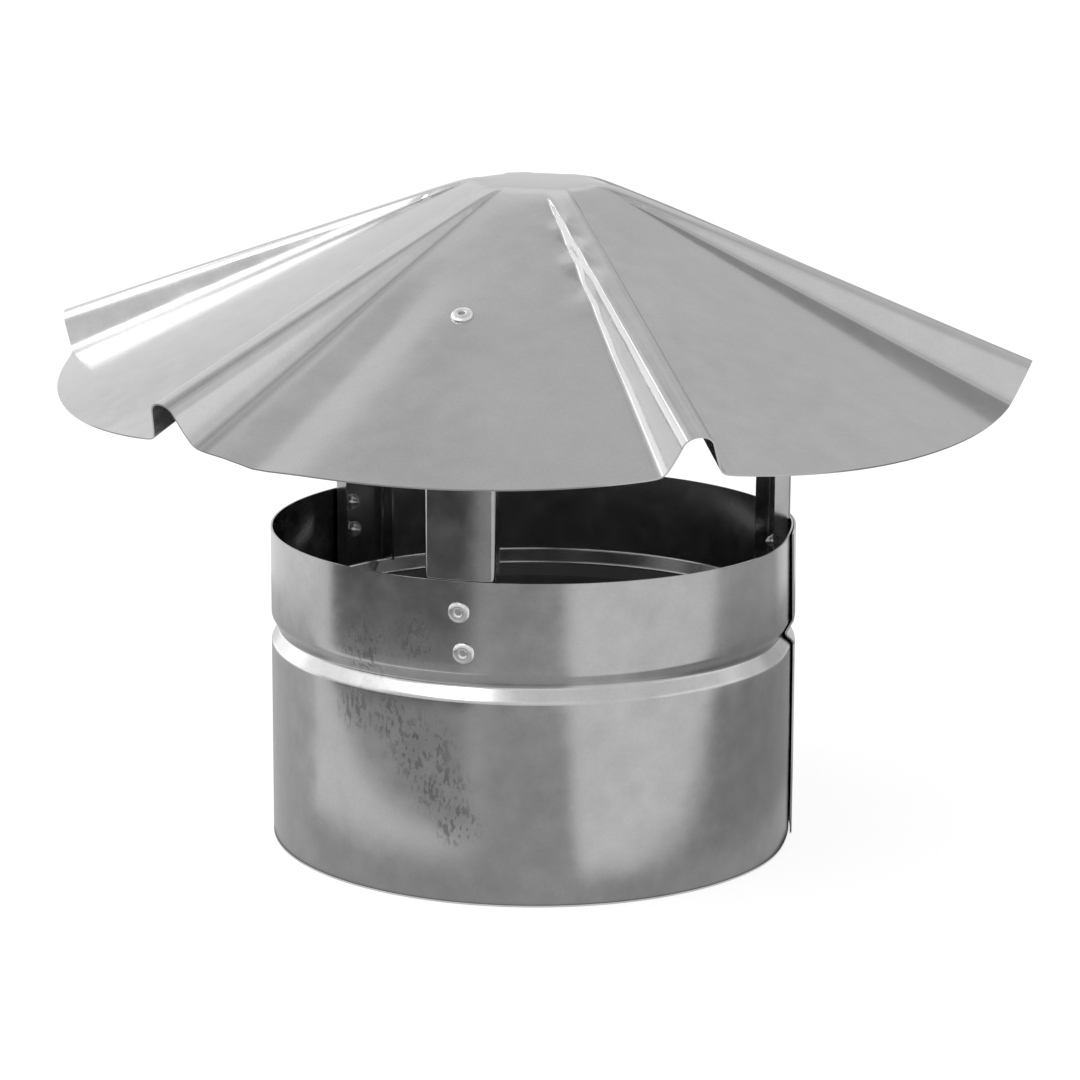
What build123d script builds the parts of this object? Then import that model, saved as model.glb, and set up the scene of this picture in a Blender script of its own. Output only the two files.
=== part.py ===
from build123d import *
from math import asin, atan2, cos, degrees, radians, sin, sqrt, tan
import os

# Chimney rain cap. Origin at the middle of the collar's lower rim, +Z up, front towards -Y.
# An azimuth is measured in degrees from the front, positive towards +X.

# Collar: one sheet rolled to a ring whose ends overlap at the lap seam
COLLAR_RADIUS = 75.0
COLLAR_HEIGHT = 90.5
COLLAR_SHEET = 0.5
BEAD_BELOW_RIM = 29.2
BEAD_HALF_WIDTH = 4.5
BEAD_DEPTH = 2.3
BEAD_FLANK_ANGLE = 38.0
LAP_GAP = 0.15
LAP_BEFORE_LEG = 22.8
LAP_PAST_LEG = 10.2

# Hat: one disc pressed with ribs, a flat crown and a panel between each two ribs
HAT_TOP = 189.5
HAT_SHEET = 0.5
CROWN_RADIUS = 18.0
PANEL_SLOPE = 26.75
PANEL_SLOPE_AT_RIB = 25.05
CREST_SLOPE = 20.1
SLANT_LENGTH = 130.5
RIB_COUNT = 6
RIB_AZIMUTH = 17.0
CREST_WIDTH = 6.8
FLANK_ANGLE = 65.0
CREST_CORNER = 3.2
FLANK_OVERRUN = 7.4
HAT_LEAN = 1.1
HAT_LEAN_AZIMUTH = 18.0

# Legs: folded channels with a tab at the top, seated inside the collar
LEG_SHEET = 0.8
LEG_WIDTH = 19.6
LEG_DEPTH = 5.6
LEG_BEND = 0.7
FOOT_CLEARANCE = 0.5
TAB_LENGTH = 12.0
TAB_CORNER = 3.0
TAB_ALLOWANCE = 0.4
FLANGE_NOTCH = 2.5
FRONT_LEG_AZIMUTH = -15.7
LEG_SPACING = 118.5

# Blind rivets: a hollow body set from outside, with the end of its pulling stem left inside
RIVET_BODY = 3.2
RIVET_HOLE_CLEARANCE = 0.1
RIVET_HEAD = 6.2
RIVET_HEAD_HEIGHT = 0.9
RIVET_HEAD_RIM = 0.3
RIVET_BORE = 1.9
BULB_WIDTH = 4.7
BULB_LENGTH = 3.6
STEM_RECESS = 0.35
STEM_HEAD = 2.8
STEM_HEAD_LENGTH = 1.1
SEAT_CLEARANCE = 0.02
HAT_RIVET_FROM_WALL = 3.0

# Depth below the collar's upper rim, and sideways shift along the wall, of each leg's hand-set rivets
FRONT_RIVETS = ((19.7, 1.6), (8.4, 0.3))
REAR_LEFT_RIVETS = ((12.9, 4.3), (4.3, 5.2))
RIGHT_RIVETS = ((21.2, -1.8), (8.5, -1.0))

# Turns in degrees, and lengths that a flat crown cuts away from what runs in under it
FULL_TURN = 360
HALF_TURN = FULL_TURN / 2
QUARTER_TURN = FULL_TURN / 4
CONE_TIP = 1.0
RIB_LEAD_IN = 9.0

# Sizes that follow from those above
LAP_STEP = COLLAR_SHEET + LAP_GAP
LAP_SHIFT = LAP_STEP / 2
BEAD_HEIGHT = COLLAR_HEIGHT - BEAD_BELOW_RIM
BEAD_BOTTOM = BEAD_HALF_WIDTH - BEAD_DEPTH / tan(radians(BEAD_FLANK_ANGLE))
BEAD_RADIUS = BEAD_BOTTOM / tan(radians(BEAD_FLANK_ANGLE / 2))
HAT_APEX = HAT_TOP + CROWN_RADIUS * tan(radians(PANEL_SLOPE))
PANEL_DROP = HAT_SHEET / cos(radians(PANEL_SLOPE))
TAB_DROP = LEG_SHEET / cos(radians(PANEL_SLOPE))
RIB_START = (HAT_APEX - HAT_TOP) / tan(radians(PANEL_SLOPE_AT_RIB))
RIB_PITCH = FULL_TURN / RIB_COUNT
RIM_RADIUS = CROWN_RADIUS + SLANT_LENGTH
PANEL_LEAN = atan2(
    sin(radians(PANEL_SLOPE)) - sin(radians(PANEL_SLOPE_AT_RIB)),
    cos(radians(PANEL_SLOPE)) - cos(radians(PANEL_SLOPE_AT_RIB)) * cos(radians(RIB_PITCH / 2)),
)
PANEL_HALF_ANGLE = radians(QUARTER_TURN - PANEL_SLOPE) + PANEL_LEAN
RIB_HEIGHT = (RIM_RADIUS - RIB_START) * (tan(radians(PANEL_SLOPE_AT_RIB)) - tan(radians(CREST_SLOPE)))
HAT_SEAT = HAT_APEX - PANEL_DROP - (COLLAR_RADIUS - COLLAR_SHEET) * tan(radians(PANEL_SLOPE))
FOOT_HEIGHT = BEAD_HEIGHT + BEAD_HALF_WIDTH + FOOT_CLEARANCE
HOLE_RADIUS = (RIVET_BODY + RIVET_HOLE_CLEARANCE) / 2
REAR_LEFT_LEG_AZIMUTH = FRONT_LEG_AZIMUTH - LEG_SPACING
RIGHT_LEG_AZIMUTH = FRONT_LEG_AZIMUTH + LEG_SPACING
LAP_OUTER_EDGE = RIGHT_LEG_AZIMUTH - LAP_BEFORE_LEG
LAP_INNER_EDGE = RIGHT_LEG_AZIMUTH + LAP_PAST_LEG


def direction(azimuth):
    """Unit vector in plan that points outwards at an azimuth."""
    angle = radians(azimuth)
    return Vector(sin(angle), -cos(angle), 0)


def turned(shape, azimuth):
    """Turn a shape that was built along +X so that it lies at an azimuth."""
    return Rot(Z=azimuth - QUARTER_TURN) * shape


def below(ceiling):
    """Block that holds everything under a level ceiling."""
    side = 2 * RIM_RADIUS
    return Pos(0, 0, ceiling - RIM_RADIUS) * Box(side, side, side)


def sagitta(radius, half_width):
    """How far a flat face of this half width lifts off a round wall."""
    return radius - sqrt(radius**2 - half_width**2)


# Collar


def wall_line(inset):
    """Upright line of the wall at an inset from the outer face, with its bead rolled inwards."""
    x = COLLAR_RADIUS - inset
    deepest = x - BEAD_DEPTH
    radius = BEAD_RADIUS + inset
    flank = radians(BEAD_FLANK_ANGLE)
    low = (deepest + radius * (1 - cos(flank)), BEAD_HEIGHT - radius * sin(flank))
    high = (low[0], BEAD_HEIGHT + radius * sin(flank))
    spread = (x - low[0]) / tan(flank)
    return [
        Polyline((x, 0), (x, low[1] - spread), low),
        ThreePointArc(low, (deepest, BEAD_HEIGHT), high),
        Polyline(high, (x, high[1] + spread), (x, COLLAR_HEIGHT)),
    ]


def wall_section():
    """Cross-section of the rolled wall, along +X and upright."""
    outer = wall_line(0)
    inner = wall_line(COLLAR_SHEET)
    ends = [Line(outer[0] @ 0, inner[0] @ 0), Line(outer[-1] @ 1, inner[-1] @ 1)]
    return Plane.XZ * make_face(Curve() + outer + inner + ends)


def wall_arc(start, angle, outward=0.0, shift=0.0):
    """Length of wall from a start azimuth, moved outward, its rolling axis shifted that way."""
    axis = Axis((shift, 0, 0), (0, 0, 1))
    section = Pos(outward, 0, 0) * wall_section()
    return turned(revolve(section, axis, revolution_arc=angle), start)


def collar_ring():
    """Ring of three tangent arcs. The rear one is wider, which leads the sheet over its own end."""
    lap = wall_arc(LAP_OUTER_EDGE, LAP_INNER_EDGE - LAP_OUTER_EDGE, outward=LAP_STEP)
    rear = wall_arc(LAP_INNER_EDGE, HALF_TURN, outward=LAP_STEP, shift=LAP_SHIFT)
    front = wall_arc(LAP_INNER_EDGE - HALF_TURN, HALF_TURN)
    return lap + rear + front


def rear_centre():
    """Centre in plan of the collar's wider rear arc."""
    return direction(LAP_INNER_EDGE) * LAP_SHIFT


# Hat


def leaning_cone(azimuth):
    """Right cone whose tip is the hat's apex and whose side is the panel at an azimuth."""
    spread = tan(PANEL_HALF_ANGLE)
    cone = Cone(RIM_RADIUS * spread, CONE_TIP * spread, RIM_RADIUS - CONE_TIP)
    upright = Pos(0, 0, -(RIM_RADIUS + CONE_TIP) / 2) * cone
    return turned(Rot(Y=degrees(PANEL_LEAN)) * upright, azimuth)


def panel_body(drop, ceiling):
    """Solid under the six panels, lowered by a drop and cut flat at the ceiling."""
    body = below(ceiling)
    for index in range(RIB_COUNT):
        azimuth = RIB_AZIMUTH + (index + 1 / 2) * RIB_PITCH
        body &= Pos(0, 0, HAT_APEX - drop) * leaning_cone(azimuth)
    return body


def rib_body(inset, ceiling):
    """Solid under one rib, along +X: a bar with steep flanks and rounded shoulders."""
    start = RIB_START - RIB_LEAD_IN
    height = HAT_TOP + RIB_LEAD_IN * tan(radians(CREST_SLOPE))
    along = Vector(cos(radians(CREST_SLOPE)), 0, -sin(radians(CREST_SLOPE)))
    half = CREST_WIDTH / 2 - inset * tan(radians(FLANK_ANGLE / 2))
    depth = RIB_HEIGHT + FLANK_OVERRUN
    foot = half + (depth - inset) / tan(radians(FLANK_ANGLE))
    outline = Polyline((-foot, -depth), (-half, -inset), (half, -inset), (foot, -depth), close=True)
    face = make_face(outline)
    shoulders = face.vertices().sort_by(Axis.Y)[-2:]
    face = fillet(shoulders, CREST_CORNER - inset)
    bar = Plane(origin=(start, 0, height), x_dir=(0, 1, 0), z_dir=along) * extrude(face, 2 * RIM_RADIUS)
    return bar & below(ceiling)


def ribbed_body(drop, inset, ceiling):
    """Everything under the ribbed surface."""
    body = panel_body(drop, ceiling)
    rib = rib_body(inset, ceiling)
    for index in range(RIB_COUNT):
        body += turned(rib, RIB_AZIMUTH + index * RIB_PITCH)
    return body


def blank_limit():
    """Body of revolution that ends where the flat disc's cut edge lands after pressing."""
    swing = Pos(CROWN_RADIUS, HAT_TOP) * Circle(SLANT_LENGTH)
    half = Pos(0, HAT_TOP) * Rectangle(RIM_RADIUS, 2 * SLANT_LENGTH, align=(Align.MIN, Align.CENTER))
    return revolve(Plane.XZ * (swing & half), Axis.Z)


def pressed_hat():
    """Sheet left between the outer and the inner ribbed bodies, cut at the disc's edge."""
    outer = ribbed_body(0, 0, HAT_TOP)
    inner = ribbed_body(PANEL_DROP, HAT_SHEET, HAT_TOP - HAT_SHEET)
    return (outer - inner) & blank_limit()


def hat_place():
    """Place of the level hat once it leans a little over, as it was riveted to its legs."""
    to_lean = Rot(Z=HAT_LEAN_AZIMUTH - QUARTER_TURN)
    return Pos(0, 0, HAT_SEAT) * to_lean * Rot(Y=HAT_LEAN) * to_lean.inverse() * Pos(0, 0, -HAT_SEAT)


def lean_towards(azimuth):
    """Part of the hat's lean, in degrees, that steepens its panel at an azimuth."""
    return HAT_LEAN * cos(radians(azimuth - HAT_LEAN_AZIMUTH))


def panel_frame(azimuth, radius):
    """Plane on the level hat's outer surface at a point, with its normal pointing out of the sheet."""
    turn = radians((azimuth - RIB_AZIMUTH) % RIB_PITCH - RIB_PITCH / 2)
    away = sin(PANEL_LEAN) * cos(turn)
    upright = cos(PANEL_LEAN)
    spread = cos(PANEL_HALF_ANGLE)
    root = sqrt((away * upright) ** 2 - (upright**2 - spread**2) * (away**2 - spread**2))
    steepness = (away * upright + root) / (upright**2 - spread**2)
    middle = direction(azimuth - degrees(turn))
    cone_axis = -sin(PANEL_LEAN) * middle - Vector(0, 0, cos(PANEL_LEAN))
    point = direction(azimuth) * radius - Vector(0, 0, steepness * radius)
    normal = point.normalized() * spread - cone_axis
    return Plane(origin=point + Vector(0, 0, HAT_APEX), z_dir=normal)


# Legs


def leg_sketch(seat, width, depth):
    """Plan of a plate or channel whose back lies on a round wall of the seat's radius."""
    block = Pos(seat, 0) * Rectangle(2 * depth, width)
    return block & Circle(seat)


def channel_section(seat):
    """Plan of the channel: a back that follows the wall and two flanges turned inwards."""
    outer = leg_sketch(seat, LEG_WIDTH, LEG_DEPTH)
    corners = outer.vertices().sort_by(Axis.X)[-2:]
    outer = fillet(corners, LEG_BEND + LEG_SHEET)
    inner = leg_sketch(seat - LEG_SHEET, LEG_WIDTH - 2 * LEG_SHEET, LEG_DEPTH)
    corners = inner.vertices().sort_by(Axis.X)[-2:]
    inner = fillet(corners, LEG_BEND)
    return outer - inner


def under_panel(seat, lean):
    """Height of the hat's underside over a leg's back, where the hat leans that way."""
    level = HAT_APEX - PANEL_DROP - seat * tan(radians(PANEL_SLOPE))
    return level - seat * sin(radians(lean))


def strip_section(seat, lean):
    """Upright section of a leg's strip, bent over from the wall to lie under a panel."""
    slope = radians(PANEL_SLOPE + lean)
    reach = TAB_LENGTH + LEG_WIDTH
    lines = []
    for inset, bend, rise in ((0, LEG_BEND + LEG_SHEET, TAB_ALLOWANCE), (LEG_SHEET, LEG_BEND, 0)):
        x = seat - inset
        corner = under_panel(seat, lean) + rise + inset * (tan(slope) - 1 / cos(slope))
        tip = (x - reach, corner + reach * tan(slope))
        lines.append(FilletPolyline((x, FOOT_HEIGHT), (x, corner), tip, radius=bend))
    ends = [Line(lines[0] @ 0, lines[1] @ 0), Line(lines[0] @ 1, lines[1] @ 1)]
    return Plane.XZ * make_face(Curve() + lines + ends)


def neck_and_tab(seat, lean, under_hat):
    """Narrow end of the strip with its round-cornered tab, its upper side pressed to the panel."""
    spread = degrees(asin(LEG_WIDTH / seat))
    strip = Rot(Z=-spread) * revolve(strip_section(seat, lean), Axis.Z, revolution_arc=2 * spread)
    outline = leg_sketch(seat, LEG_WIDTH - 2 * (LEG_BEND + LEG_SHEET), TAB_LENGTH)
    outline = fillet(outline.vertices().sort_by(Axis.X)[:2], TAB_CORNER)
    return strip & extrude(outline, HAT_TOP) & under_hat


def leg_blank(seat, lean, under_hat):
    """Channel whose flanges stop short of the bent tab, along +X."""
    top = under_panel(seat, lean) - TAB_DROP - FLANGE_NOTCH
    channel = extrude(Pos(0, 0, FOOT_HEIGHT) * channel_section(seat), top - FOOT_HEIGHT)
    return channel + neck_and_tab(seat, lean, under_hat)


def leg(azimuth, under_hat):
    """Leg at an azimuth, before its rivet holes."""
    centre, seat = wall_seat(azimuth)
    place = Pos(*centre) * Rot(Z=azimuth - QUARTER_TURN)
    return place * leg_blank(seat, lean_towards(azimuth), place.inverse() * under_hat)


def wall_seat(azimuth):
    """Centre and inside radius of the arc of wall that a leg stands against."""
    on_front_arc = (LAP_INNER_EDGE - azimuth) % FULL_TURN <= HALF_TURN
    if on_front_arc:
        return Vector(0, 0, 0), COLLAR_RADIUS - COLLAR_SHEET
    return rear_centre(), COLLAR_RADIUS + LAP_SHIFT - COLLAR_SHEET


# Rivets


def rivet_body(grip, seat_drop):
    """Set rivet along its axis: coned head above the origin, bulb below the clamped sheets."""
    head = RIVET_HEAD / 2
    bore = RIVET_BORE / 2
    shank = RIVET_BODY / 2
    under = -grip - seat_drop
    tip = under - BULB_LENGTH
    outline = Polyline(
        (bore, RIVET_HEAD_HEIGHT),
        (bore, tip),
        (BULB_WIDTH / 2, (under + tip) / 2),
        (shank, under),
        (shank, 0),
        (head, 0),
        (head, RIVET_HEAD_RIM),
        close=True,
    )
    return revolve(Plane.XZ * make_face(outline), Axis.Z)


def rivet_stem(grip, seat_drop):
    """Broken end of the pulling stem, held in the rivet's bore by its own head."""
    bore = RIVET_BORE / 2
    top = RIVET_HEAD_HEIGHT - STEM_RECESS
    tip = -grip - seat_drop - BULB_LENGTH
    end = tip - STEM_HEAD_LENGTH
    outline = Polyline((0, top), (bore, top), (bore, tip), (STEM_HEAD / 2, tip), (0, end), close=True)
    return revolve(Plane.XZ * make_face(outline), Axis.Z)


def rivet_hole(frame):
    """Drill through the sheets under a rivet's head."""
    return frame * Pos(0, 0, -LEG_DEPTH / 2) * Cylinder(HOLE_RADIUS, 2 * LEG_DEPTH)


def wall_rivet_places():
    """For each collar rivet: its frame on the outer wall, its grip and its inner seat's drop."""
    places = []
    for _, azimuth, rivets in LEGS:
        centre, seat = wall_seat(azimuth)
        layers = LAP_STEP if LAP_OUTER_EDGE < azimuth < LAP_INNER_EDGE else 0
        grip = layers + COLLAR_SHEET + LEG_SHEET
        drop = sagitta(seat - LEG_SHEET, BULB_WIDTH / 2) + SEAT_CLEARANCE
        for depth, shift in rivets:
            outward = direction(azimuth + degrees(shift / seat))
            height = Vector(0, 0, COLLAR_HEIGHT - depth)
            origin = centre + outward * (seat + COLLAR_SHEET + layers) + height
            places.append((Plane(origin=origin, z_dir=outward), grip, drop))
    return places


def hat_rivet_places():
    """For each hat rivet: its frame on the panel, its grip and its inner seat's drop."""
    radius = COLLAR_RADIUS - COLLAR_SHEET - HAT_RIVET_FROM_WALL
    grip = HAT_SHEET + LEG_SHEET
    drop = sagitta(radius, BULB_WIDTH / 2) + SEAT_CLEARANCE
    frames = [Plane(hat_place() * panel_frame(azimuth, radius).location) for _, azimuth, _ in LEGS]
    return [(frame, grip, drop) for frame in frames]


def set_rivets(places):
    """Bodies and stems of a group of rivets."""
    bodies = [frame * rivet_body(grip, drop) for frame, grip, drop in places]
    stems = [frame * rivet_stem(grip, drop) for frame, grip, drop in places]
    return Compound(children=bodies), Compound(children=stems)


LEGS = (
    ("front_leg", FRONT_LEG_AZIMUTH, FRONT_RIVETS),
    ("rear_left_leg", REAR_LEFT_LEG_AZIMUTH, REAR_LEFT_RIVETS),
    ("right_leg", RIGHT_LEG_AZIMUTH, RIGHT_RIVETS),
)


def build():
    """All pieces by name."""
    wall_places = wall_rivet_places()
    hat_places = hat_rivet_places()
    wall_holes = [rivet_hole(frame) for frame, grip, drop in wall_places]
    hat_holes = [rivet_hole(frame) for frame, grip, drop in hat_places]
    under_hat = hat_place() * panel_body(PANEL_DROP, HAT_TOP)
    pieces = {"collar": collar_ring() - wall_holes, "rain_hat": hat_place() * pressed_hat() - hat_holes}
    for name, azimuth, _ in LEGS:
        pieces[name] = leg(azimuth, under_hat) - wall_holes - hat_holes
    pieces["collar_rivets"], pieces["collar_rivet_stems"] = set_rivets(wall_places)
    pieces["hat_rivets"], pieces["hat_rivet_stems"] = set_rivets(hat_places)
    return pieces


os.makedirs("parts", exist_ok=True)
for piece_name, piece in build().items():
    export_step(piece, f"parts/{piece_name}.step")
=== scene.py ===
from math import atan2, cos, pi, radians, sin, tan

import bpy
import numpy as np
from mathutils import Matrix, Vector


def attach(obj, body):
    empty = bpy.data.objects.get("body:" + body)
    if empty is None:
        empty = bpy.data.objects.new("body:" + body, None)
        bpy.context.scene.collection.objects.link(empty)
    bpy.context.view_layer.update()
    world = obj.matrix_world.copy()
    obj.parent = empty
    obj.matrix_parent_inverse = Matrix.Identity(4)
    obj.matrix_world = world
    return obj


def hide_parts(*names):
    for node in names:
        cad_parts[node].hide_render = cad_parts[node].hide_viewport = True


# Chimney rain cap: a ribbed hat on three legs inside a rolled collar, all of galvanised sheet.
# Metres, +Z up, the origin at the middle of the collar's lower rim, the front towards -Y.
# An azimuth is an angle from the front, positive towards +X.

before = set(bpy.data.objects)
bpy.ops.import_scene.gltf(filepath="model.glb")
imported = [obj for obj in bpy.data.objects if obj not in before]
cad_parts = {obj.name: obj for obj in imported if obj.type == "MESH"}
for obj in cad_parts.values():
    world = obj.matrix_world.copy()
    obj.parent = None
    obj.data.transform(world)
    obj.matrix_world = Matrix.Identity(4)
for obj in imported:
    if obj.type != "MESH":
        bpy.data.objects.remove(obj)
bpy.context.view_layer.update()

# Collar
COLLAR_RADIUS = 0.0750
COLLAR_HEIGHT = 0.0905
SHEET = 0.0005
BEAD_HEIGHT = 0.0613
BEAD_HALF_WIDTH = 0.0045
BEAD_DEPTH = 0.0021
BEAD_ROUNDING = 0.0008
LAP_OUTER_EDGE = radians(80.0)
LAP_EDGE_SLANT = radians(4.0)
LAP_INNER_EDGE = radians(113.0)
LAP_STEP = 0.00065
LAP_LIFT_ABOVE_BEAD = 0.0007
LAP_LIFT_AT_RIM = 0.0004
LAP_LIFT_BELOW_BEAD = 0.0007
FLAT_AT_FOOT = 0.0010
FLAT_AT_RIM = 0.0017
FLAT_REACH = radians(14.0)
LAP_RIVET_LINE = radians(99.0)
# Rows of its grid below the bead, over it and above it, and columns of the lap and the round wall
ROWS_BELOW_BEAD = 14
BEAD_ROWS = 34
ROWS_ABOVE_BEAD = 12
LAP_COLUMNS = 40
WALL_COLUMNS = 400

# Stained spots of the wall: azimuth, height and reach
STAINS = (
    (-24.0, 0.042, 0.014),
    (-20.0, 0.033, 0.012),
    (-16.0, 0.023, 0.009),
    (-40.0, 0.051, 0.009),
    (-31.0, 0.050, 0.009),
    (-38.0, 0.070, 0.013),
    (-25.0, 0.075, 0.010),
)

# Hat
HAT_TOP = 0.1895
CROWN_RADIUS = 0.0180
CROWN_SOFTNESS = 0.0018
PANEL_SLOPE = radians(26.75)
PANEL_SLOPE_AT_RIB = radians(25.05)
CREST_SLOPE = radians(20.1)
SLANT_LENGTH = 0.1304
RIB_COUNT = 6
RIB_AZIMUTH = radians(17.0)
CREST_WIDTH = 0.0068
FLANK_ANGLE = radians(71.0)
SHOULDER_AT_CROWN = 0.0012
SHOULDER_AT_RIM = 0.0045
FOOT_AT_CROWN = 0.0008
FOOT_AT_RIM = 0.0032
LEAN = radians(1.1)
LEAN_AZIMUTH = radians(18.0)
TAB_RISE = 0.00045
TAB_REACH = 0.016
# Long low waves of the hat: their height, then the length of one radian and the phase, for X and Y
WAVE_HEIGHT = 0.00012
WAVE_ALONG_X = (0.0170, 0.6)
WAVE_ALONG_Y = (0.0210, -0.4)
# Sag of the hat's rear: its depth, then where it starts and how far it grows, as shares of the rim
REAR_SAG = 0.0015
SAG_START = 0.25
SAG_GROWTH = 0.5
# Trough of the front panel beside the rib left of the front, and how far it drifts from the rib
TROUGH_DEPTH = 0.0011
TROUGH_START = 0.004
TROUGH_DRIFT = 0.14
TROUGH_WIDTH = 0.012
TROUGH_REACH = 0.012
# Distance from the hat's axis at which the trough begins, and the length over which it grows
TROUGH_HEAD = 0.040
TROUGH_GROWTH = 0.050
# Dents of the rib right of the front: distance along it and across it, height and reach
DENTS = (
    (0.037, -0.0045, 0.0005, 0.0030),
    (0.044, -0.0035, -0.0004, 0.0030),
    (0.052, -0.0060, 0.0006, 0.0034),
    (0.060, -0.0045, -0.0004, 0.0036),
    (0.069, -0.0075, 0.0004, 0.0045),
    (0.090, -0.0085, -0.0003, 0.0070),
)
# Half width of the finer columns over a rib, or its share of the radius near the crown
RIB_ZONE = 0.0125
RIB_ZONE_SHARE = 0.42
RIB_COLUMNS = 25
PANEL_COLUMNS = 26
# First row and end of the crown as shares of the way out, rows of the crown and of the panels
FIRST_ROW = 0.05
CROWN_END = 0.25
CROWN_ROWS = 18
PANEL_ROWS = 72
# Rounds in which the reach of the columns settles
REACH_ROUNDS = 12

# Legs and rivets
LEG_AZIMUTHS = (radians(-15.7), radians(-134.2), radians(102.8))
LEG_SHEET = 0.0008
HAT_RIVET_RADIUS = 0.0715
RIVET_BORE = 0.00095
RIVET_SHANK = 0.0016
RIVET_HEAD = 0.0031
RIVET_HEAD_HEIGHT = 0.0011
RIVET_EDGE = 0.0002
RIVET_LIP = 0.0004
BULB_SWELL = 0.0007
BULB_LENGTH = 0.0036
DOME_STEPS = 12
BULB_STEPS = 14
RIVET_SIDES = 40
# Step to both sides over which the fall of the hat is measured under its rivets
SEAT_STEP = 0.001
# For each leg in turn, its two rivets' depth below the collar's rim and shift along the wall
LEG_RIVETS = (
    ((0.0197, 0.0016), (0.0084, 0.0003)),
    ((0.0129, 0.0043), (0.0043, 0.0052)),
    ((0.0212, -0.0018), (0.0085, -0.0010)),
)

# Sizes that follow from those above
RIB_PITCH = 2 * pi / RIB_COUNT
HAT_APEX = HAT_TOP + CROWN_RADIUS * tan(PANEL_SLOPE)
RIB_START = (HAT_APEX - HAT_TOP) / tan(PANEL_SLOPE_AT_RIB)
RIM_RADIUS = CROWN_RADIUS + SLANT_LENGTH
SEAT_HEIGHT = HAT_APEX - SHEET / cos(PANEL_SLOPE) - (COLLAR_RADIUS - SHEET) * tan(PANEL_SLOPE)

# Edges of a mesh that are bent more than this stay sharp
SHARP_EDGE = radians(35)

# Finishes of the sheet: grey, roughness and how far clouds and mottle change the grey
HAT_ZINC = (0.50, 0.16, 0.03)
COLLAR_ZINC = (0.50, 0.19, 0.06)
LEG_ZINC = (0.44, 0.18, 0.07)
# Finishes of drawn metal: grey and roughness
RIVET_METAL = (0.75, 0.28)
STEM_METAL = (0.55, 0.35)
# Noise of the zinc, from the widest to the finest, and of drawn metal: scale and detail
CLOUDS = (24.0, 3.0)
MOTTLE = (140.0, 3.0)
GRAIN = (1400.0, 1.0)
DRAWN_GRAIN = (1500.0, 2.0)
# Most of such a noise lies in this range
NOISE_RANGE = (0.3, 0.7)
# How far the grain changes the grey, and how far clouds and mottle change the roughness
GRAIN_REACH = 0.01
DRAWN_REACH = 0.1
CLOUD_ROUGHNESS = 0.12
MOTTLE_ROUGHNESS = 0.03
CLOUD_BUMP = {"Strength": 0.2, "Distance": 0.0004}
MOTTLE_BUMP = {"Strength": 0.1, "Distance": 0.0002}
# Marks of a stain: scale, detail and distortion of their noise, its stretch in height, the range
# in which it turns into marks, and the weight that is left between them
STAIN_MARKS = (760.0, 2.0, 0.2)
STAIN_STRETCH = 0.5
STAIN_NOISE = (0.51, 0.60)
STAIN_FADE = 0.2
# Share of a spot's reach inside which the stain is full
STAIN_CORE = 0.3
# Grey of a full stain as a share of the zinc's, and what it adds to the roughness
STAIN_SHADE = 0.50
STAIN_DULLNESS = 0.15

# Glowing dome of painted reflections, seen only in the metal: its grid, its tone, and its patches,
# brighter ones painted reflections of windows and lamps and duller ones a painted reflection of the
# darker room. Each patch is laid over those before it, and has its middle azimuth, half width, lowest
# and highest elevation, all in degrees, and its tone.
TENT_RADIUS = 1.9
TENT_TOP = radians(89)
TENT_ROWS = 90
TENT_COLUMNS = 360
TENT_TONE = 0.92
REFLECTION_EDGE = radians(4.0)
TENT_PAINTED_REFLECTIONS = (
    (-127, 23, -15, 38, 1.55),
    (-126, 8, 1, 19, 2.10),
    (-88, 22, 16, 38, 1.45),
    (157, 7, 21, 34, 0.86),
    (150, 28, -10, 29, 0.60),
    (151, 29, 29, 52, 0.77),
    (-172, 17, -10, 45, 0.97),
    (-168, 22, 34, 52, 1.08),
    (0, 181, 56, 100, 0.77),
    (0, 181, 75, 100, 0.58),
    (-140, 40, 50, 62, 0.97),
    (-146, 13, 62, 76, 0.70),
    (176, 10, 6, 26, 0.80),
    (78, 25, 5, 26, 1.22),
    (-2, 22, 20, 42, 1.00),
    (-62, 50, 36, 50, 1.42),
    (-106, 12, 42, 56, 1.75),
)

# Table: radii of its first rows under the object, then of the first of the rows that widen outwards
TABLE_MIDDLE = (0.001, 0.070)
TABLE_START = 0.0752
TABLE_ROWS = 160
TABLE_HEIGHT = 0.0005
# Radius at which the far tones begin, and the farthest ones, each with the width of the change
FAR_REFLECTIONS = 0.33
FAR_SOFTNESS = 0.03
FARTHEST_REFLECTIONS = 0.48
FARTHEST_SOFTNESS = 0.06
# Lines on the table, each through two points, with its positive side on the left
TABLE_LINES = {
    "strip": ((-0.103, -0.028), (-0.266, 0.032)),
    "dark_front": ((-0.0475, -0.1306), (-0.299, -0.021)),
    "dark_left": ((-0.403, -0.003), (-0.100, -0.043)),
}
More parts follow.
